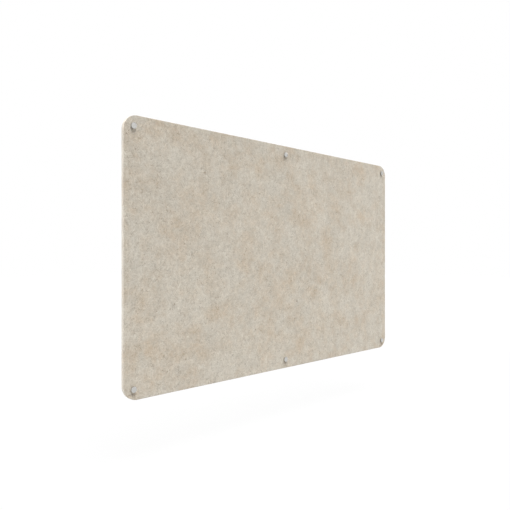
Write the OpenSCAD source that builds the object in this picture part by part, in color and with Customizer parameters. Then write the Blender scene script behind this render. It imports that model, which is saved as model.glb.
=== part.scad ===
// Acoustic pinboard: one pressed felt panel with round corners, held clear of the
// wall by six turned stand-offs. X runs along the wall, Z is up and the felt faces
// -Y. The origin is on the wall's surface, behind the middle of the panel.

/* [Felt panel] */
// Width of the panel
panel_w = 1500; // [900:10:2400]
// Height of the panel
panel_h = 900; // [500:10:1200]
// Thickness of the pressed felt
panel_t = 12; // [9:1:24]
// Radius of the panel's four corners
panel_corner_r = 50; // [20:1:70]
// Room round a stud in its hole in the felt
panel_hole_gap = 0.5; // [0.2:0.1:1.5]

/* [Stand-offs] */
// From each edge of the panel to the axis of a stand-off
standoff_inset = 35; // [30:1:60]
// Outer diameter of a stand-off, its barrel and cap alike
standoff_d = 20; // [20:0.5:28]
// Nominal diameter of the thread that joins a cap to its barrel
thread_d = 10; // [9:1:12]

/* [Barrels] */
// Length of a barrel from the wall to its front end
barrel_len = 20; // [18:1:40]
// Thickness of the barrel's base, which the wall screw pulls on
barrel_base_t = 6; // [4:0.5:7]
// Chamfer round both ends of a barrel
barrel_chamfer = 0.8; // [0.3:0.1:1]
// Chamfer at the mouth of the barrel's tapped bore
bore_chamfer = 0.6; // [0.3:0.1:1]

/* [Caps] */
// Thickness of a cap's head
cap_t = 4; // [3:0.5:6]
// Chamfer round the front of a cap's head
cap_chamfer = 0.4; // [0.3:0.1:1.2]
// Running room between the stud and the tapped bore, on the radius
thread_gap = 0.05; // [0.02:0.01:0.1]
// Room between the tip of the stud and the barrel's base
stud_tip_room = 5; // [2:0.5:6]
// Chamfer at the tip of the stud
stud_chamfer = 1; // [0.5:0.1:1.5]
// Length of the thread relief under the head
relief_len = 1.6; // [1:0.1:2.5]
// Depth of the thread relief
relief_depth = 0.8; // [0.4:0.1:1.2]

/* [Washers] */
// How far a nylon washer's rim lies inside the stand-off's
washer_inset = 2; // [0.5:0.1:2.5]
// Thickness of the nylon washers
washer_t = 1.5; // [0.5:0.1:2.5]
// Room round a stud in a washer
washer_gap = 0.25; // [0.1:0.05:0.5]

/* [Wall screws] */
// Diameter over the thread of a wall screw
screw_d = 4; // [3.5:0.5:5]
// Depth of the screw's thread, which is also how much thinner its neck is
screw_thread_depth = 0.5; // [0.3:0.05:0.6]
// Whole length of a wall screw
screw_len = 35; // [30:1:70]
// Length of the screw's point
screw_point_len = 4; // [2:0.5:6]
// Diameter of the countersunk head
screw_head_d = 8; // [7:0.1:8.4]
// Room round the screw in the barrel's base
screw_hole_gap = 0.25; // [0.1:0.05:0.5]
// Running room between the countersunk head and its seat
screw_seat_gap = 0.05; // [0.02:0.01:0.1]

/* [Hidden] */
$fn = 96;

ROWS = ["top", "bottom"];
COLUMNS = ["left", "middle", "right"];
PLACED_PIECES = ["standoff_barrel", "standoff_cap", "barrel_washer", "cap_washer", "wall_screw"];

// How far each layer of the stack stands in front of the wall
barrel_front = barrel_len;
panel_back = barrel_front + washer_t;
panel_front = panel_back + panel_t;
cap_seat = panel_front + washer_t;
cap_front = cap_seat + cap_t;

// Half distances between the stand-offs' axes
standoff_x = panel_w / 2 - standoff_inset;
standoff_z = panel_h / 2 - standoff_inset;

// Radii of the turned parts
standoff_r = standoff_d / 2;
washer_r = standoff_r - washer_inset;
bore_r = thread_d / 2;
stud_r = bore_r - thread_gap;
relief_r = stud_r - relief_depth;
screw_r = screw_d / 2;
screw_neck_r = screw_r - screw_thread_depth;
screw_head_r = screw_head_d / 2;
screw_hole_r = screw_r + screw_hole_gap;
screw_seat_r = screw_head_r + screw_seat_gap;

// The stud runs from the cap's seat to just short of the barrel's base
stud_len = cap_seat - barrel_base_t - stud_tip_room;

// Where a stand-off's axis crosses the wall, by its column and its row
function axis_x(column) = column == "left" ? -standoff_x : column == "right" ? standoff_x : 0;
function axis_z(row) = row == "top" ? standoff_z : -standoff_z;

// Sends a shape's +Z towards the room, away from the wall
module facing_room() {
    rotate([90, 0, 0]) children();
}

// Puts a shape on the axis of one stand-off
module at_standoff(row, column) {
    translate([axis_x(column), 0, axis_z(row)]) facing_room() children();
}

// A flat ring in the washers' size, lying on its back face
module washer() {
    difference() {
        cylinder(r = washer_r, h = washer_t);
        translate([0, 0, -washer_t]) cylinder(r = stud_r + washer_gap, h = 3 * washer_t);
    }
}

// One sheet of pressed felt, cut with round corners and six holes
module felt_panel() {
    corner_x = panel_w / 2 - panel_corner_r;
    corner_y = panel_h / 2 - panel_corner_r;
    color([0.78, 0.74, 0.68])
        facing_room() translate([0, 0, panel_back]) linear_extrude(panel_t) difference() {
            union() {
                square([panel_w, 2 * corner_y], center = true);
                square([2 * corner_x, panel_h], center = true);
                for (x = [-corner_x, corner_x], y = [-corner_y, corner_y])
                    translate([x, y]) circle(r = panel_corner_r);
            }
            for (row = ROWS, column = COLUMNS)
                translate([axis_x(column), axis_z(row)]) circle(r = stud_r + panel_hole_gap);
        }
}

// Turned barrel: tapped from the front, with a countersunk hole through its base
module standoff_barrel() {
    seat_depth = screw_seat_r - screw_hole_r;
    color([0.72, 0.73, 0.74])
        rotate_extrude() polygon([
            [screw_hole_r, 0],
            [standoff_r - barrel_chamfer, 0],
            [standoff_r, barrel_chamfer],
            [standoff_r, barrel_front - barrel_chamfer],
            [standoff_r - barrel_chamfer, barrel_front],
            [bore_r + bore_chamfer, barrel_front],
            [bore_r, barrel_front - bore_chamfer],
            [bore_r, barrel_base_t],
            [screw_seat_r, barrel_base_t],
            [screw_hole_r, barrel_base_t - seat_depth]
        ]);
}

// Turned cap: a flat head and a stud in one piece, relieved under the head
module standoff_cap() {
    stud_tip = cap_seat - stud_len;
    color([0.80, 0.80, 0.80])
        rotate_extrude() polygon([
            [0, stud_tip],
            [stud_r - stud_chamfer, stud_tip],
            [stud_r, stud_tip + stud_chamfer],
            [stud_r, cap_seat - relief_len],
            [relief_r, cap_seat - relief_len],
            [relief_r, cap_seat],
            [standoff_r, cap_seat],
            [standoff_r, cap_front - cap_chamfer],
            [standoff_r - cap_chamfer, cap_front],
            [0, cap_front]
        ]);
}

// Washer between the barrel and the back of the felt
module barrel_washer() {
    color([0.16, 0.16, 0.16]) translate([0, 0, barrel_front]) washer();
}

// Washer between the front of the felt and the cap
module cap_washer() {
    color([0.16, 0.16, 0.16]) translate([0, 0, panel_front]) washer();
}

// Countersunk wall screw, drawn with its thread as a plain shank from the wall inwards
module wall_screw() {
    screw_tip = barrel_base_t - screw_len;
    head_depth = screw_head_r - screw_neck_r;
    color([0.68, 0.69, 0.70])
        rotate_extrude() polygon([
            [0, barrel_base_t],
            [screw_head_r, barrel_base_t],
            [screw_neck_r, barrel_base_t - head_depth],
            [screw_neck_r, 0],
            [screw_r, 0],
            [screw_r, screw_tip + screw_point_len],
            [0, screw_tip]
        ]);
}

felt_panel();
for (row = ROWS, column = COLUMNS) {
    at_standoff(row, column) standoff_barrel();
    at_standoff(row, column) standoff_cap();
    at_standoff(row, column) barrel_washer();
    at_standoff(row, column) cap_washer();
    at_standoff(row, column) wall_screw();
}
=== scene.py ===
# An acoustic pinboard: a felt panel held clear of the wall by six turned stand-offs.
# The sections follow the order in which it is put up: wall screws, barrels, washers,
# felt panel, washers and caps. The felt faces -Y, and the wall's surface is at Y = 0.
# Outlines of turned pieces and all that MM multiplies are in millimetres, and the rest
# is in metres.
import math

import bpy
from mathutils import Matrix, Vector


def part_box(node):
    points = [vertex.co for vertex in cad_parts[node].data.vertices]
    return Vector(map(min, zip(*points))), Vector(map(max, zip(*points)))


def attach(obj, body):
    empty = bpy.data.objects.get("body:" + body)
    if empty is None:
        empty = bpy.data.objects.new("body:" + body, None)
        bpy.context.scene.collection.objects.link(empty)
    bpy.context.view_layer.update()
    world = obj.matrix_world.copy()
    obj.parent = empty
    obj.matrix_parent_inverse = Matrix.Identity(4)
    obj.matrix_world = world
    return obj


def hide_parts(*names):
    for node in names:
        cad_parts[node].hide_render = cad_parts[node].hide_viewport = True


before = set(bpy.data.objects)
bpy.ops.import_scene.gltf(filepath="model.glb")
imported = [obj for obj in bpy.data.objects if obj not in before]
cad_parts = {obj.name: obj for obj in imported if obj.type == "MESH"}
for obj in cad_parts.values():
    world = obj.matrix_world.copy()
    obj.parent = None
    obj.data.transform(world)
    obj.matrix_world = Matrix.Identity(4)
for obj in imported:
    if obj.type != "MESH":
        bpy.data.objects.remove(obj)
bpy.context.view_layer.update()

# Wall screws: zinc-plated steel, headed cold with a cross recess, with a thread rolled
# up to a sharp point. Each goes through its barrel's base into a plug in the wall.
MM = 0.001
WALL = 0
BARREL_BASE_T = 6
HEAD_TOP = WALL - BARREL_BASE_T
HEAD_R = 4
NECK_R = 1.5
NECK_END = WALL + 0.3
CORE_R = 1.3
CORE_START = WALL + 0.8
SCREW_LEN = 35
POINT_LEN = 4
POINT_END = HEAD_TOP + SCREW_LEN
POINT_START = POINT_END - POINT_LEN
SCREW_CREST_R = 2
SCREW_PITCH = 1.8
SCREW_THREAD_START = WALL + 1.2
SCREW_STEPS = 48
RECESS_SPAN = 4.4
RECESS_W = 1.1
RECESS_DEPTH = 2.4
RECESS_TAPER = 0.45
RECESS_CELLS = 3
CUTTER_LEAD = 1
THREAD_ROOTED = 0.03
MERGED_WITHIN = 0.002 * MM
SAME_PLACE = 0.01 * MM
ZINC_BLUE = (0.60, 0.62, 0.66, 1)
ZINC_GREY = (0.74, 0.73, 0.70, 1)
PLACES = [f"{row}_{column}" for row in ("top", "bottom") for column in ("left", "middle", "right")]
TURN_BETWEEN_PLACES = math.radians(50)


def pick(piece):
    """Selects one piece alone and makes it the active one."""
    bpy.ops.object.select_all(action="DESELECT")
    piece.select_set(True)
    bpy.context.view_layer.objects.active = piece


def merge_and_face_out():
    """Merges the active piece's doubled points and turns all its faces outwards."""
    bpy.ops.object.mode_set(mode="EDIT")
    bpy.ops.mesh.select_all(action="SELECT")
    bpy.ops.mesh.remove_doubles(threshold=MERGED_WITHIN)
    bpy.ops.mesh.normals_make_consistent(inside=False)
    bpy.ops.object.mode_set(mode="OBJECT")


def drawn(name, outline):
    """A line through (radius, along) points in mm, drawn to the right of the Y axis."""
    bpy.ops.object.select_all(action="DESELECT")
    bpy.ops.mesh.primitive_plane_add(size=MM)
    line = bpy.context.object
    line.name = line.data.name = name
    bpy.ops.object.mode_set(mode="EDIT")
    bpy.ops.mesh.select_mode(type="VERT")
    bpy.ops.mesh.merge(type="CENTER")
    here = Vector((0, 0, 0))
    for number, (radius, along) in enumerate(outline):
        step = Vector((radius, along, 0)) * MM - here
        if number:
            bpy.ops.mesh.extrude_region_move(TRANSFORM_OT_translate={"value": step})
        else:
            bpy.ops.transform.translate(value=step)
        here += step
    bpy.ops.object.mode_set(mode="OBJECT")
    return line


def turned(name, outline, soft, steps):
    """Turns an outline of (radius, along) points in mm round the Y axis. An outline that
    starts off the axis is closed, and all corners off the axis are rounded by soft."""
    piece = drawn(name, outline)
    if outline[0][0] > 0:
        ends = [Vector((*point, 0)) * MM for point in (outline[0], outline[-1])]
        for point in piece.data.vertices:
            point.select = min((point.co - end).length for end in ends) < SAME_PLACE
        bpy.ops.object.mode_set(mode="EDIT")
        bpy.ops.mesh.edge_face_add()
        bpy.ops.object.mode_set(mode="OBJECT")
    for point in piece.data.vertices:
        point.select = point.co.x > SAME_PLACE
    bpy.ops.object.mode_set(mode="EDIT")
    bpy.ops.mesh.bevel(offset=soft * MM, segments=3, affect="VERTICES")
    bpy.ops.mesh.select_all(action="SELECT")
    bpy.ops.mesh.spin(steps=steps, angle=math.tau, center=(0, 0, 0), axis=(0, 1, 0))
    merge_and_face_out()
    return piece


def cut_out(piece, cutter):
    """Takes the cutter's form out of the piece, and removes the cutter."""
    pick(piece)
    cut = piece.modifiers.new("cut", "BOOLEAN")
    cut.operation = "DIFFERENCE"
    cut.solver = "EXACT"
    cut.object = cutter
    bpy.ops.object.modifier_apply(modifier="cut")
    bpy.data.objects.remove(cutter)


def wind_thread(piece, wall_r, crest_r, base_w, crest_w, pitch, start, turns, steps):
    """Winds a right-hand thread on the piece's wall from a place on, for a number of turns,
    and joins it to the piece. The thread is a closed rib, rooted just inside the wall. Its
    first and last half turns run out into the wall and end in a point."""
    root_r = wall_r + math.copysign(THREAD_ROOTED, wall_r - crest_r)
    outline = [
        (root_r, start - base_w / 2),
        (crest_r, start - crest_w / 2),
        (crest_r, start + crest_w / 2),
        (root_r, start + base_w / 2),
    ]
    thread = drawn("thread", outline)
    bpy.ops.object.mode_set(mode="EDIT")
    bpy.ops.mesh.select_all(action="SELECT")
    bpy.ops.mesh.edge_face_add()
    bpy.ops.mesh.delete(type="ONLY_FACE")
    bpy.ops.object.mode_set(mode="OBJECT")
    winding = thread.modifiers.new("winding", "SCREW")
    winding.axis = "Y"
    winding.angle = math.tau
    winding.screw_offset = pitch * MM
    winding.iterations = turns
    winding.steps = steps
    bpy.ops.object.modifier_apply(modifier="winding")
    for number, point in enumerate(thread.data.vertices):
        turns_so_far = number // len(outline) / steps
        risen = min(2 * turns_so_far, 2 * (turns - turns_so_far), 1)
        radius = math.hypot(point.co.x, point.co.z) / MM
        kept = (root_r + (radius - root_r) * risen) / radius
        point.co.x *= kept
        point.co.z *= kept
        if risen == 0:
            point.co.y = (start + turns_so_far * pitch) * MM
    merge_and_face_out()
    piece.select_set(True)
    bpy.context.view_layer.objects.active = piece
    bpy.ops.object.join()


def set_in_places(model, node, name, material):
    """Puts a copy of the model on each stand-off's axis, in the place of the CAD node. The
    copies are turned by different angles, and each point keeps its place on the model."""
    model.data.materials.append(material)
    pick(model)
    bpy.ops.object.shade_smooth_by_angle(angle=math.radians(35))
    own_place = model.data.attributes.new("own_place", "FLOAT_VECTOR", "POINT")
    own_place.data.foreach_set("vector", [c for point in model.data.vertices for c in point.co])
    for number, place in enumerate(PLACES):
        low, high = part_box(f"standoff_barrel_{place}")
        piece = model.copy()
        piece.data = model.data.copy()
        piece.name = piece.data.name = f"{name}_{place}"
        bpy.context.collection.objects.link(piece)
        piece.data.transform(Matrix.Rotation(number * TURN_BETWEEN_PLACES, 4, "Y"))
        piece.data.transform(Matrix.Translation(((low.x + high.x) / 2, 0, (low.z + high.z) / 2)))
        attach(piece, "root")
        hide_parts(f"{node}_{place}")
    bpy.data.objects.remove(model)


def new_material(name):
    """A new material, its node tree and its Principled shader."""
    material = bpy.data.materials.new(name)
    material.use_nodes = True
    return material, material.node_tree, material.node_tree.nodes["Principled BSDF"]


def fill(tree, node, inputs):
    """Gives each named input of a node its value, or links it to the socket that feeds it."""
    for name, value in inputs.items():
        if isinstance(value, bpy.types.NodeSocket):
            tree.links.new(value, node.inputs[name])
        else:
            node.inputs[name].default_value = value


def add_node(tree, kind, inputs=None, **settings):
    """Adds a node with its settings and fills its inputs."""
    made = tree.nodes.new(kind)
    for name, value in settings.items():
        setattr(made, name, value)
    fill(tree, made, inputs or {})
    return made


def place_on_model(tree):
    """Where a point of a turned piece lies on the model it was copied from."""
    return add_node(tree, "ShaderNodeAttribute", attribute_name="own_place").outputs["Vector"]


def noise(tree, place, scale, detail, roughness=0.5, distortion=0.0, output="Fac"):
    """Soft noise from 0 to 1 at a place."""
    inputs = {"Vector": place, "Scale": scale, "Detail": detail}
    inputs.update({"Roughness": roughness, "Distortion": distortion})
    return add_node(tree, "ShaderNodeTexNoise", inputs).outputs[output]


def ranged(tree, value, source=(0, 1), target=(0, 1), **settings):
    """A value carried from one range to another, held inside it unless clamp is False."""
    limits = {"From Min": source[0], "From Max": source[1], "To Min": target[0], "To Max": target[1]}
    return add_node(tree, "ShaderNodeMapRange", {"Value": value, **limits}, **settings).outputs[0]


def blended(tree, share, first, second):
    """The first colour, with a share of the second mixed in."""
    return add_node(tree, "ShaderNodeMix", {0: share, 6: first, 7: second}, data_type="RGBA").outputs[2]


screw = turned(
    "wall_screw_model",
    [
        (0, HEAD_TOP),
        (HEAD_R, HEAD_TOP),
        (NECK_R, HEAD_TOP + HEAD_R - NECK_R),
        (NECK_R, NECK_END),
        (CORE_R, CORE_START),
        (CORE_R, POINT_START),
        (0, POINT_END),
    ],
    soft=0.12,
    steps=SCREW_STEPS,
)

# The cross recess: a grid shaped to a cross, drawn down into a tapered punch.
bpy.ops.object.select_all(action="DESELECT")
bpy.ops.mesh.primitive_grid_add(
    x_subdivisions=RECESS_CELLS,
    y_subdivisions=RECESS_CELLS,
    size=RECESS_SPAN * MM,
    location=(0, (HEAD_TOP - CUTTER_LEAD) * MM, 0),
    rotation=(math.radians(90), 0, 0),
)
recess = bpy.context.object
bpy.ops.object.transform_apply(location=True, rotation=True, scale=True)
for point in recess.data.vertices:
    if abs(point.co.x) < RECESS_SPAN / RECESS_CELLS * MM:
        point.co.x = math.copysign(RECESS_W / 2 * MM, point.co.x)
    if abs(point.co.z) < RECESS_SPAN / RECESS_CELLS * MM:
        point.co.z = math.copysign(RECESS_W / 2 * MM, point.co.z)
bpy.ops.object.mode_set(mode="EDIT")
bpy.ops.mesh.select_mode(type="FACE")
bpy.ops.mesh.select_all(action="DESELECT")
bpy.ops.object.mode_set(mode="OBJECT")
for face in recess.data.polygons:
    face.select = min(abs(face.center.x), abs(face.center.z)) > SAME_PLACE
bpy.ops.object.mode_set(mode="EDIT")
bpy.ops.mesh.delete(type="FACE")
bpy.ops.mesh.select_all(action="SELECT")
bpy.ops.mesh.extrude_region_move(
    TRANSFORM_OT_translate={"value": (0, (CUTTER_LEAD + RECESS_DEPTH) * MM, 0)}
)
bpy.ops.transform.resize(value=(RECESS_TAPER, 1, RECESS_TAPER), center_override=(0, 0, 0))
bpy.ops.mesh.select_all(action="SELECT")
bpy.ops.mesh.normals_make_consistent(inside=False)
bpy.ops.mesh.select_mode(type="VERT")
bpy.ops.object.mode_set(mode="OBJECT")
cut_out(screw, recess)
merge_and_face_out()

wind_thread(
    screw, wall_r=CORE_R, crest_r=SCREW_CREST_R, base_w=0.7, crest_w=0.1,
    pitch=SCREW_PITCH, start=SCREW_THREAD_START, turns=15, steps=SCREW_STEPS,
)
for point in screw.data.vertices:
    if point.co.y > POINT_START * MM:
        left = (POINT_END - point.co.y / MM) / (POINT_END - POINT_START)
        point.co.x *= left
        point.co.z *= left

zinc, tree, shader = new_material("zinc plating")
haze = noise(tree, place_on_model(tree), scale=900, detail=3)
plating = {
    "Base Color": blended(tree, haze, ZINC_BLUE, ZINC_GREY),
    "Roughness": ranged(tree, haze, target=(0.25, 0.42)),
    "Metallic": 1,
}
fill(tree, shader, plating)
set_in_places(screw, "wall_screw", "zinc_screw", zinc)

# Barrels: satin aluminium, turned from bar, tapped from the front and bored through the
# base for the wall screw. They hold the felt off the wall.
BARREL_R = 10
BARREL_LEN = 20
BARREL_FRONT = WALL - BARREL_LEN
BORE_R = 5
BORE_FLOOR = HEAD_TOP
BARREL_CHAMFER = 0.8
BORE_CHAMFER = 0.6
SEAT_GAP = 0.05
SEAT_R = HEAD_R + SEAT_GAP
SCREW_HOLE_R = 2.25
BARREL_CREST_R = 4.25
THREAD_PITCH = 1.5
BARREL_THREAD_START = BARREL_FRONT + 1.35
TURNED_STEPS = 72
RIM_START = 9.3 * MM
RIM_END = 9.8 * MM
RIM_POLISH = 0.35
ALUMINIUM_DARK = (0.515, 0.51, 0.495, 1)
ALUMINIUM_LIGHT = (0.60, 0.595, 0.575, 1)


def maths(tree, operation, first, second=0.0, **settings):
    """The result of one Math node on two values or sockets."""
    inputs = {0: first, 1: second}
    return add_node(tree, "ShaderNodeMath", inputs, operation=operation, **settings).outputs[0]


def vector_maths(tree, operation, first, second=(0, 0, 0)):
    """The result of one Vector Math node on one or two vectors or sockets."""
    made = add_node(tree, "ShaderNodeVectorMath", {0: first, 1: second}, operation=operation)
    return made.outputs["Value" if operation in ("DOT_PRODUCT", "LENGTH") else "Vector"]


def split_up(tree, vector):
    """The X, Y and Z of a vector."""
    return add_node(tree, "ShaderNodeSeparateXYZ", {0: vector}).outputs


def put_together(tree, **parts):
    """A vector with the X, Y and Z given, and 0 for the rest."""
    return add_node(tree, "ShaderNodeCombineXYZ", parts).outputs[0]


def bumped(tree, height, strength, depth):
    """The surface's direction where a height lifts it."""
    inputs = {"Height": height, "Strength": strength, "Distance": depth}
    return add_node(tree, "ShaderNodeBump", inputs).outputs[0]


barrel = turned(
    "barrel_model",
    [
        (SCREW_HOLE_R, WALL),
        (BARREL_R - BARREL_CHAMFER, WALL),
        (BARREL_R, WALL - BARREL_CHAMFER),
        (BARREL_R, BARREL_FRONT + BARREL_CHAMFER),
        (BARREL_R - BARREL_CHAMFER, BARREL_FRONT),
        (BORE_R + BORE_CHAMFER, BARREL_FRONT),
        (BORE_R, BARREL_FRONT + BORE_CHAMFER),
        (BORE_R, BORE_FLOOR),
        (SEAT_R, BORE_FLOOR),
        (SCREW_HOLE_R, BORE_FLOOR + SEAT_R - SCREW_HOLE_R),
    ],
    soft=0.1,
    steps=TURNED_STEPS,
)
wind_thread(
    barrel, wall_r=BORE_R, crest_r=BARREL_CREST_R, base_w=1.24, crest_w=0.3,
    pitch=THREAD_PITCH, start=BARREL_THREAD_START, turns=8, steps=TURNED_STEPS,
)

# Satin aluminium: fine rings left by the tool, rubbed smoother here and there at the rim.
aluminium, tree, shader = new_material("satin aluminium")
place = place_on_model(tree)
parts = split_up(tree, place)
radius = vector_maths(tree, "LENGTH", put_together(tree, X=parts["X"], Z=parts["Z"]))
marks = noise(tree, put_together(tree, X=radius, Y=parts["Y"]), scale=6000, detail=2)
patches = noise(tree, place, scale=350, detail=3)
rim = ranged(tree, radius, source=(RIM_START, RIM_END), target=(0, RIM_POLISH))
unrubbed = maths(tree, "SUBTRACT", 1.0, maths(tree, "MULTIPLY", rim, patches))
satin = {
    "Base Color": blended(tree, marks, ALUMINIUM_DARK, ALUMINIUM_LIGHT),
    "Roughness": maths(tree, "MULTIPLY", ranged(tree, patches, target=(0.18, 0.28)), unrubbed),
    "Normal": bumped(tree, marks, strength=0.25, depth=0.02 * MM),
    "Metallic": 1,
}
fill(tree, shader, satin)
set_in_places(barrel, "standoff_barrel", "tapped_barrel", aluminium)

# Barrel washers: nylon rings, stamped from sheet, between the barrels and the back of
# the felt. They spread a barrel's pressure and keep its edge from marking the felt.
WASHER_R = 8
WASHER_BORE_R = 5.2
WASHER_T = 1.5
NYLON_DARK_AS_GAP_SHADE = (0.045, 0.045, 0.045, 1)
NYLON_LIGHT_AS_GAP_SHADE = (0.07, 0.07, 0.07, 1)


def washer(name, back):
    """A stamped ring whose front lies one washer's thickness before its back."""
    front = back - WASHER_T
    outline = [(WASHER_BORE_R, back), (WASHER_R, back), (WASHER_R, front), (WASHER_BORE_R, front)]
    return turned(name, outline, soft=0.18, steps=TURNED_STEPS)


# The nylon is near-black; under the caps this partly stands in for the shade in the gap.
nylon, tree, shader = new_material("black nylon")
cloud = noise(tree, place_on_model(tree), scale=500, detail=4)
moulded = {
    "Base Color": blended(tree, cloud, NYLON_DARK_AS_GAP_SHADE, NYLON_LIGHT_AS_GAP_SHADE),
    "Roughness": 0.45,
    "Normal": bumped(tree, cloud, strength=0.2, depth=0.05 * MM),
}
fill(tree, shader, moulded)
behind = washer("barrel_washer_model", BARREL_FRONT)
set_in_places(behind, "barrel_washer", "nylon_ring_behind", nylon)

# Felt panel: polyester fibres of two shades, carded, needled and pressed into a stiff
# board, then cut to shape with round corners and drilled for the studs. The pressed
# faces show crossing strands and the cut edges show the layers.
CORNER_R = 50 * MM
CELLS = (240, 144)
CORNER_CELLS = 16
EDGE_ROWS = 4
RIM_R = 0.5 * MM
HOLE_R = 5.45 * MM
DRILL_LEN = 60 * MM
SEATED_R = 10 * MM
FREE_R = 30 * MM
WAVE = 0.7 * MM
WAVE_SIZE = 250 * MM
RAGGED = 0.12 * MM
RAGGED_SIZE = 6 * MM
low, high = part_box("felt_panel")
middle = (low + high) / 2
bpy.ops.object.select_all(action="DESELECT")
bpy.ops.mesh.primitive_grid_add(
    x_subdivisions=CELLS[0], y_subdivisions=CELLS[1], size=1, rotation=(math.radians(90), 0, 0)
)
felt = bpy.context.object
felt.name = felt.data.name = "pressed_felt"
felt.scale = (high.x - low.x, high.z - low.z, 1)
felt.location = (middle.x, low.y, middle.z)
bpy.ops.object.transform_apply(location=True, rotation=True, scale=True)

# The grid's lines close up towards the corners, whose squares are pushed in to rounds.
for point in felt.data.vertices:
    for side, reach, cells in ((0, high.x, CELLS[0] / 2), (2, high.z, CELLS[1] / 2)):
        number = abs(point.co[side]) / reach * cells
        if number > cells - CORNER_CELLS:
            place = reach - CORNER_R + (number - cells + CORNER_CELLS) / CORNER_CELLS * CORNER_R
        else:
            place = number / (cells - CORNER_CELLS) * (reach - CORNER_R)
        point.co[side] = math.copysign(place, point.co[side])
    across = (abs(point.co.x) - (high.x - CORNER_R)) / CORNER_R
    up = (abs(point.co.z) - (high.z - CORNER_R)) / CORNER_R
    if across > 0 and up > 0:
        round_x = across * math.sqrt(1 - up * up / 2)
        round_z = up * math.sqrt(1 - across * across / 2)
        point.co.x = math.copysign(high.x - CORNER_R + round_x * CORNER_R, point.co.x)
        point.co.z = math.copysign(high.z - CORNER_R + round_z * CORNER_R, point.co.z)
bpy.ops.object.mode_set(mode="EDIT")
bpy.ops.mesh.select_all(action="SELECT")
for row in range(EDGE_ROWS):
    bpy.ops.mesh.extrude_region_move(
        TRANSFORM_OT_translate={"value": (0, (high.y - low.y) / EDGE_ROWS, 0)}
    )
bpy.ops.mesh.select_all(action="SELECT")
bpy.ops.mesh.normals_make_consistent(inside=False)
bpy.ops.mesh.select_mode(type="EDGE")
bpy.ops.mesh.select_all(action="DESELECT")
bpy.ops.mesh.edges_select_sharp(sharpness=math.radians(60))
bpy.ops.mesh.bevel(offset=RIM_R, segments=3)
bpy.ops.object.mode_set(mode="OBJECT")

# The holes are drilled all at once, by six drills joined into one.
axes = []
drills = []
for place in PLACES:
    barrel_low, barrel_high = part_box(f"standoff_barrel_{place}")
    axis = (barrel_low + barrel_high) / 2
    bpy.ops.mesh.primitive_cylinder_add(
        vertices=48, radius=HOLE_R, depth=DRILL_LEN, location=(axis.x, middle.y, axis.z),
        rotation=(math.radians(90), 0, 0),
    )
    axes.append(axis)
    drills.append(bpy.context.object)
pick(drills[0])
for drill in drills:
    drill.select_set(True)
bpy.ops.object.join()
cut_out(felt, bpy.context.object)

# Away from the washers the board isn't quite flat, and its surface is a little ragged.
loose = felt.vertex_groups.new(name="clear of washers")
for point in felt.data.vertices:
    nearest = min(math.hypot(point.co.x - axis.x, point.co.z - axis.z) for axis in axes)
    loose.add([point.index], min(max((nearest - SEATED_R) / (FREE_R - SEATED_R), 0), 1), "REPLACE")
for name, size, depth, reach in (("wave", WAVE_SIZE, 1, WAVE), ("ragged", RAGGED_SIZE, 2, RAGGED)):
    clouds = bpy.data.textures.new(name, "CLOUDS")
    clouds.noise_scale = size
    clouds.noise_depth = depth
    pushed = felt.modifiers.new(name, "DISPLACE")
    pushed.texture = clouds
    pushed.texture_coords = "LOCAL"
    pushed.strength = reach
    pushed.mid_level = 0.5
    pushed.vertex_group = "clear of washers"
    bpy.ops.object.modifier_apply(modifier=name)
bpy.ops.object.shade_smooth_by_angle(angle=math.radians(50))


def new_group(name, inputs, outputs):
    """A node group with inputs and outputs given by name and type, and its two end nodes."""
    group = bpy.data.node_groups.new(name, "ShaderNodeTree")
    for sockets, direction in ((inputs, "INPUT"), (outputs, "OUTPUT")):
        for socket, kind in sockets.items():
            group.interface.new_socket(socket, in_out=direction, socket_type=f"NodeSocket{kind}")
    return group, group.nodes.new("NodeGroupInput").outputs, group.nodes.new("NodeGroupOutput")


def add_group(tree, group, inputs):
    """Adds a node group, fills its inputs and gives its outputs."""
    made = tree.nodes.new("ShaderNodeGroup")
    made.node_tree = group
    fill(tree, made, inputs)
    return made.outputs


def times(tree, vector, factor):
    """A vector or colour made longer or lighter by a factor."""
    inputs = {0: vector, "Scale": factor}
    return add_node(tree, "ShaderNodeVectorMath", inputs, operation="SCALE").outputs[0]


# Crossed strands: noise drawn out along five directions, the highest strand on top. The
# directions lie so far apart in the noise that no two are alike.
DIRECTIONS = 5
FIRST_DIRECTION = 17
DIRECTIONS_APART = 3.7
STRAND_BEND = 12 * MM
MIDDLE_GREY = (0.5, 0.5, 0.5)
strands, given, result = new_group(
    "crossed strands", {"Vector": "Vector", "Length": "Float", "Width": "Float"}, {"Height": "Float"}
)
bend = noise(strands, given["Vector"], scale=60, detail=2, output="Color")
bend = vector_maths(strands, "SUBTRACT", bend, MIDDLE_GREY)
curled = vector_maths(strands, "ADD", given["Vector"], times(strands, bend, STRAND_BEND))
top = None
for number in range(DIRECTIONS):
    turn = math.radians(FIRST_DIRECTION + 180 / DIRECTIONS * number)
    along = vector_maths(strands, "DOT_PRODUCT", curled, (math.cos(turn), math.sin(turn), 0))
    across = vector_maths(strands, "DOT_PRODUCT", curled, (-math.sin(turn), math.cos(turn), 0))
    along = maths(strands, "DIVIDE", along, given["Length"])
    across = maths(strands, "DIVIDE", across, given["Width"])
    drawn_out = put_together(strands, X=along, Y=across, Z=DIRECTIONS_APART * number)
    layer = noise(strands, drawn_out, scale=1, detail=2)
    top = layer if top is None else maths(strands, "MAXIMUM", layer, top)
fill(strands, result, {"Height": top})

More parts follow.
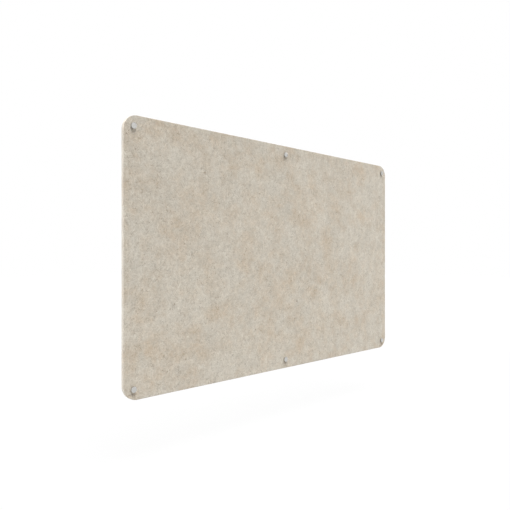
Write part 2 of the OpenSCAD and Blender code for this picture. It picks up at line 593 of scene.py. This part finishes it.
# Single fibres: one short curled line in each cell, each with its own direction and tone.
# Local runs along and across the line, in cells and in line widths.
FULL_WIDTH = (0.2, 0.8)
FULL_LENGTH = (0.3, 0.55)
fibres, given, result = new_group(
    "single fibres",
    {"Vector": "Vector", "Cell": "Float", "Width": "Float", "Layer": "Float"},
    {"Mask": "Float", "Tone": "Float", "Local": "Vector"},
)
scaled = times(fibres, given["Vector"], maths(fibres, "DIVIDE", 1.0, given["Cell"]))
scaled = vector_maths(fibres, "ADD", scaled, given["Layer"])
bend = noise(fibres, scaled, scale=1.5, detail=1, output="Color")
bend = vector_maths(fibres, "SUBTRACT", bend, MIDDLE_GREY)
scaled = vector_maths(fibres, "ADD", scaled, bend)
cells = add_node(
    fibres, "ShaderNodeTexVoronoi", {"Vector": scaled, "Scale": 1}, voronoi_dimensions="2D"
).outputs
chance = add_node(fibres, "ShaderNodeSeparateColor", {0: cells["Color"]}).outputs
from_middle = vector_maths(fibres, "SUBTRACT", scaled, cells["Position"])
angle = maths(fibres, "MULTIPLY", chance[0], math.pi)
lined_up = add_node(
    fibres, "ShaderNodeVectorRotate", {"Vector": from_middle, "Angle": angle}, rotation_type="Z_AXIS"
).outputs[0]
parts = split_up(fibres, lined_up)
width_in_cells = maths(fibres, "DIVIDE", given["Width"], given["Cell"])
across = maths(fibres, "DIVIDE", parts["Y"], width_in_cells)
inside = ranged(fibres, maths(fibres, "ABSOLUTE", across), source=FULL_WIDTH, target=(1, 0))
before_end = ranged(fibres, maths(fibres, "ABSOLUTE", parts["X"]), source=FULL_LENGTH, target=(1, 0))
line = {
    "Mask": maths(fibres, "MULTIPLY", inside, before_end),
    "Tone": chance[1],
    "Local": put_together(fibres, X=parts["X"], Y=across, Z=chance[2]),
}
fill(fibres, result, line)

# Fibre blend: grey-beige fibres with patches where more tan ones came together, thinner
# and thicker lumps, broad lighter and darker stretches, and a few brown specks.
FIBRE_GREY = (0.619, 0.576, 0.500, 1)
FIBRE_TAN = (0.573, 0.480, 0.373, 1)
FIBRE_BROWN = (0.20, 0.14, 0.09, 1)
PATCH_PLACE = (5.21, 0, 2.64)
LUMP_PLACE = (5.1, 2.3, 7.7)
BROAD_PLACE = (6.05, 0, -1.72)
TAN_CONTRAST = 1.4
LUMP_CONTRAST = 0.25
SPECKLESS_SHARE = 0.86
SPECK_STRENGTH = 0.34
blend, given, result = new_group("fibre blend", {"Vector": "Vector"}, {"Color": "Color"})
patch = vector_maths(blend, "ADD", given["Vector"], PATCH_PLACE)
patch = noise(blend, patch, scale=11, detail=6, roughness=0.8)
tan_share = maths(blend, "POWER", ranged(blend, patch, source=(0.40, 0.66)), TAN_CONTRAST)
shade = blended(blend, tan_share, FIBRE_GREY, FIBRE_TAN)
lump = vector_maths(blend, "ADD", given["Vector"], LUMP_PLACE)
lump = noise(blend, lump, scale=22, detail=5, roughness=0.85, distortion=0.4)
lump = maths(blend, "POWER", lump, LUMP_CONTRAST)
lump = ranged(blend, lump, source=(0.69, 0.99), target=(0.81, 1.19), clamp=False)
shade = times(blend, shade, lump)
broad = vector_maths(blend, "ADD", given["Vector"], BROAD_PLACE)
broad = ranged(blend, noise(blend, broad, scale=6, detail=1), target=(0.94, 1.06))
shade = times(blend, shade, broad)
speck = add_node(blend, "ShaderNodeTexVoronoi", {"Vector": given["Vector"], "Scale": 48}).outputs
chance = add_node(blend, "ShaderNodeSeparateColor", {0: speck["Color"]}).outputs[0]
spot = ranged(blend, speck["Distance"], source=(0.04, 0.15), target=(SPECK_STRENGTH, 0))
spot = maths(blend, "MULTIPLY", spot, maths(blend, "GREATER_THAN", chance, SPECKLESS_SHARE))
fill(blend, result, {"Color": blended(blend, spot, shade, FIBRE_BROWN)})

# The pressed faces: the blend under crossed strands and bundles, with painted shade
# between them and painted light on their tops, then single fibres, then dark curls split
# into hairs, which the highest strands bury; the hairs' darkness is partly painted shade
# in the gaps. No two layers of fibres or curls start from the same place in the noise.
SHADED_STRAND_GAPS = (0.93, 0.92, 0.91, 1)
LIT_STRAND_TOPS = (1.055, 1.065, 1.075, 1)
SHADED_BUNDLE_GAPS = (0.86, 0.84, 0.81, 1)
LIT_BUNDLE_TOPS = (1.10, 1.12, 1.14, 1)
DARK_FIBRE = (0.36, 0.29, 0.22, 1)
LIGHT_FIBRE = (0.80, 0.76, 0.69, 1)
DARK_HAIR_AND_GAP_SHADE = (0.255, 0.20, 0.14, 1)
STRANDS = {"Length": 9 * MM, "Width": 0.5 * MM}
BUNDLES = {"Length": 22 * MM, "Width": 3.2 * MM}
FIBRE_STRENGTH = 0.45
FIBRE_HEIGHT = 0.25
FIBRE_CELLS_AND_WIDTHS = ((7.0, 0.16), (5.0, 0.14), (4.0, 0.12), (9.0, 0.20))
FIBRES_APART = 1.3
CURL_CELLS_AND_WIDTHS = ((24, 2.9), (17, 2.4), (12, 1.9), (9, 1.5))
FIRST_CURLS = 40
CURLS_APART = 1.7
HAIRS_IN_A_CURL = (3, 2.5, 30)
FELT_SURFACE = {"Roughness": 0.95, "Specular IOR Level": 0.2, "Sheen Weight": 0.1}
felt_face, tree, shader = new_material("pressed felt")
place = add_node(tree, "ShaderNodeTexCoord").outputs["Object"]
parts = split_up(tree, place)
flat = put_together(tree, X=parts["X"], Y=parts["Z"])
shade = add_group(tree, blend, {"Vector": place})["Color"]
woven = add_group(tree, strands, {"Vector": flat, **STRANDS})["Height"]
# Painted shade where strands and bundles lie low, and painted light where they stand high.
painted_light_share = ranged(tree, woven, source=(0.45, 0.75))
shade = vector_maths(tree, "MULTIPLY", shade, blended(tree, painted_light_share, SHADED_STRAND_GAPS, LIT_STRAND_TOPS))
bundled = add_group(tree, strands, {"Vector": flat, **BUNDLES})["Height"]
painted_light_share = ranged(tree, bundled, source=(0.5, 0.75))
shade = vector_maths(tree, "MULTIPLY", shade, blended(tree, painted_light_share, SHADED_BUNDLE_GAPS, LIT_BUNDLE_TOPS))
height = woven
for number, (cell, width) in enumerate(FIBRE_CELLS_AND_WIDTHS):
    layer = {"Cell": cell * MM, "Width": width * MM, "Layer": FIBRES_APART * number}
    lines = add_group(tree, fibres, {"Vector": flat, **layer})
    fibre = blended(tree, lines["Tone"], DARK_FIBRE, LIGHT_FIBRE)
    shade = blended(tree, maths(tree, "MULTIPLY", lines["Mask"], FIBRE_STRENGTH), shade, fibre)
    height = maths(tree, "ADD", height, maths(tree, "MULTIPLY", lines["Mask"], FIBRE_HEIGHT))
uncrossed = ranged(tree, woven, source=(0.72, 0.54))
gathered = noise(tree, flat, scale=28, detail=1)
gathered = ranged(tree, gathered, source=(0.38, 0.62), target=(0.45, 1))
# Dark hairs sunk between the strands; their darkness is partly painted shade in the gaps.
for number, (cell, width) in enumerate(CURL_CELLS_AND_WIDTHS):
    layer = {"Cell": cell * MM, "Width": width * MM, "Layer": FIRST_CURLS + CURLS_APART * number}
    curls = add_group(tree, fibres, {"Vector": flat, **layer})
    dark_ones = ranged(tree, curls["Tone"], source=(0.5, 0.6), target=(1, 0))
    hairs = vector_maths(tree, "MULTIPLY", curls["Local"], HAIRS_IN_A_CURL)
    hairs = ranged(tree, noise(tree, hairs, scale=1, detail=2), source=(0.42, 0.60))
    sunk_shaded_hairs = curls["Mask"]
    for factor in (uncrossed, dark_ones, hairs, gathered):
        sunk_shaded_hairs = maths(tree, "MULTIPLY", sunk_shaded_hairs, factor)
    shade = blended(tree, sunk_shaded_hairs, shade, DARK_HAIR_AND_GAP_SHADE)
    height = maths(tree, "SUBTRACT", height, sunk_shaded_hairs)
lifted = bumped(tree, height, strength=0.35, depth=0.35 * MM)
fill(tree, shader, {"Base Color": shade, "Normal": lifted, **FELT_SURFACE})

# The cut edge: the same blend, paler where the knife opened it, in thin pressed layers
# with the ends of the fibres standing out of them. Its tone follows their height: painted
# shade on the low layers and painted light on the raised ends.
CUT_PALER = (0.62, 0.60, 0.56, 1)
CUT_PALER_SHARE = 0.3
LAYERS = (60, 1600, 60)
FIBRE_ENDS = (500, 4000, 500)
FIBRE_ENDS_HEIGHT = 0.6
felt_edge, tree, shader = new_material("cut felt edge")
place = add_node(tree, "ShaderNodeTexCoord").outputs["Object"]
shade = blended(tree, CUT_PALER_SHARE, add_group(tree, blend, {"Vector": place})["Color"], CUT_PALER)
layers = vector_maths(tree, "MULTIPLY", place, LAYERS)
layers = noise(tree, layers, scale=1, detail=3, roughness=0.6)
ends = vector_maths(tree, "MULTIPLY", place, FIBRE_ENDS)
ends = noise(tree, ends, scale=1, detail=2, roughness=0.7)
height = maths(tree, "ADD", layers, maths(tree, "MULTIPLY", ends, FIBRE_ENDS_HEIGHT))
# Painted shade where the edge lies low and painted light where fibre ends stand out.
shade = times(tree, shade, ranged(tree, height, source=(0.55, 1.05), target=(0.78, 1.12)))
lifted = bumped(tree, height, strength=0.5, depth=0.3 * MM)
fill(tree, shader, {"Base Color": shade, "Normal": lifted, **FELT_SURFACE})

felt.data.materials.append(felt_face)
felt.data.materials.append(felt_edge)
for face in felt.data.polygons:
    face.material_index = 0 if abs(face.normal.y) > 0.5 else 1
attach(felt, "root")
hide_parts("felt_panel")

# Cap washers: the same near-black nylon rings as behind the felt, between its front and
# the caps, whose darkness partly paints the shade in the gap under each cap. A cap turns
# on its washer as it is screwed home, and not on the felt.
FELT_T = 12
FELT_FRONT = BARREL_FRONT - WASHER_T - FELT_T
before = washer("cap_washer_model", FELT_FRONT)
set_in_places(before, "cap_washer", "nylon_ring_before", nylon)

# Caps: satin aluminium heads turned in one piece with their threaded studs, which screw
# into the barrels by hand and clamp the felt. The stud's crests lie in the bore's grooves.
CAP_T = 4
CAP_SEAT = FELT_FRONT - WASHER_T
CAP_FRONT = CAP_SEAT - CAP_T
CAP_CHAMFER = 0.4
STUD_ROOT_R = 4.05
STUD_CREST_R = 4.95
STUD_TIP_ROOM = 5
STUD_TIP = BORE_FLOOR - STUD_TIP_ROOM
STUD_CHAMFER = 0.5
PITCHES_APART = 9.5
cap = turned(
    "cap_model",
    [
        (0, STUD_TIP),
        (STUD_ROOT_R - STUD_CHAMFER, STUD_TIP),
        (STUD_ROOT_R, STUD_TIP - STUD_CHAMFER),
        (STUD_ROOT_R, CAP_SEAT),
        (BARREL_R, CAP_SEAT),
        (BARREL_R, CAP_FRONT + CAP_CHAMFER),
        (BARREL_R - CAP_CHAMFER, CAP_FRONT),
        (0, CAP_FRONT),
    ],
    soft=0.12,
    steps=TURNED_STEPS,
)
wind_thread(
    cap, wall_r=STUD_ROOT_R, crest_r=STUD_CREST_R, base_w=1.125, crest_w=0.19, pitch=THREAD_PITCH,
    start=BARREL_THREAD_START - PITCHES_APART * THREAD_PITCH, turns=14, steps=TURNED_STEPS,
)
set_in_places(cap, "standoff_cap", "turned_cap", aluminium)

# The stage: a pale floor, a white sky, a broad soft sun from overhead and weaker light
# from the left, the right and behind. The camera sees the floor nearly white, with the
# board's shadow, and the metal mirrors a sky that dims towards the right.
FLOOR_Z = -0.66
FLOOR_GREY = (0.44, 0.44, 0.44, 1)
SHADOW_SHARE = 0.05
SHADOW_FADES = (1.2, 2.4)
FLOOR_GLOW = 1.02
SKY_LIGHT = 0.20
SKY_IN_METAL = (1.07, 0.90)
SKY_TURNS = (0.55, 0.72)


def looked_at(tree):
    """1 where a ray from the camera, a gloss or a clear surface arrives, 0 for light."""
    rays = add_node(tree, "ShaderNodeLightPath").outputs
    seen = maths(tree, "ADD", rays["Is Camera Ray"], rays["Is Glossy Ray"])
    return maths(tree, "ADD", seen, rays["Is Transmission Ray"])


bpy.ops.object.select_all(action="DESELECT")
bpy.ops.mesh.primitive_plane_add(size=30, location=(0, 0, FLOOR_Z))
floor = bpy.context.object
floor.name = "floor"
paper, tree, shader = new_material("floor paper")
fill(tree, shader, {"Base Color": FLOOR_GREY, "Roughness": 1, "Specular IOR Level": 0})
spot = add_node(tree, "ShaderNodeTexCoord").outputs["Object"]
away = vector_maths(tree, "LENGTH", spot)
shadowed = ranged(
    tree, away, source=SHADOW_FADES, target=(SHADOW_SHARE, 0), interpolation_type="SMOOTHSTEP"
)
plain = maths(tree, "SUBTRACT", 1.0, shadowed)
share = maths(tree, "MULTIPLY", looked_at(tree), plain, use_clamp=True)
white = add_node(tree, "ShaderNodeEmission", {"Strength": FLOOR_GLOW}).outputs[0]
above = add_node(tree, "ShaderNodeMixShader", {0: share, 1: shader.outputs[0], 2: white}).outputs[0]
below = add_node(tree, "ShaderNodeBsdfTransparent").outputs[0]
side = add_node(tree, "ShaderNodeNewGeometry").outputs["Backfacing"]
both_sides = add_node(tree, "ShaderNodeMixShader", {0: side, 1: above, 2: below}).outputs[0]
fill(tree, tree.nodes["Material Output"], {"Surface": both_sides})
floor.data.materials.append(paper)

world = bpy.data.worlds.new("white sky")
bpy.context.scene.world = world
world.use_nodes = True
tree = world.node_tree
toward_right = split_up(tree, add_node(tree, "ShaderNodeTexCoord").outputs["Generated"])["X"]
in_metal = ranged(
    tree, toward_right, source=SKY_TURNS, target=SKY_IN_METAL, interpolation_type="SMOOTHSTEP"
)
glossy = add_node(tree, "ShaderNodeLightPath").outputs["Is Glossy Ray"]
seen_as = add_node(tree, "ShaderNodeMix", {0: glossy, 2: 1.0, 3: in_metal}).outputs[0]
strength = add_node(tree, "ShaderNodeMix", {0: looked_at(tree), 2: SKY_LIGHT, 3: seen_as}).outputs[0]
fill(tree, tree.nodes["Background"], {"Color": (1, 1, 1, 1), "Strength": strength})


def soft_lamp(name, kind, place, target, energy, size):
    """A sun or an area lamp at a place, facing the target."""
    lamp = bpy.data.lights.new(name, kind)
    lamp.energy = energy
    if kind == "SUN":
        lamp.angle = size
    else:
        lamp.shape = "RECTANGLE"
        lamp.size, lamp.size_y = size
    holder = bpy.data.objects.new(name, lamp)
    bpy.context.collection.objects.link(holder)
    holder.location = place
    holder.visible_glossy = kind != "SUN"
    holder.rotation_euler = (Vector(target) - Vector(place)).to_track_quat("-Z", "Y").to_euler()


soft_lamp(
    "overhead", "SUN", place=(0, -0.9, 2.862), target=(0, 0, 0), energy=4.7, size=math.radians(34)
)
soft_lamp(
    "left side", "AREA", place=(-3.2, 1.2, 0.3), target=(-0.75, 0, 0), energy=65, size=(1.6, 2.0)
)
soft_lamp(
    "right front", "AREA", place=(3.2, -1.5, 2.2), target=(0.6, 0, 0), energy=30, size=(1.2, 1.2)
)
soft_lamp(
    "behind", "AREA", place=(0.6, 3.6, 0.5), target=(0, 0, 0), energy=40, size=(2.4, 1.6)
)

# The camera: it looks level at the board from its left, turned 45 degrees from its face,
# with the lens that gives the board its size in the picture.
CAMERA_PLACE = (-1.6743, -1.5346, 0.0083)
CAMERA_TURN = math.radians(-45)
CAMERA_LENS = 39.02
camera = bpy.data.objects.new("camera", bpy.data.cameras.new("camera"))
bpy.context.collection.objects.link(camera)
camera.location = CAMERA_PLACE
camera.rotation_euler = (math.radians(90), 0, CAMERA_TURN)
camera.data.lens = CAMERA_LENS
camera.data.sensor_width = 36
bpy.context.scene.camera = camera
bpy.context.scene.view_settings.view_transform = "Standard"
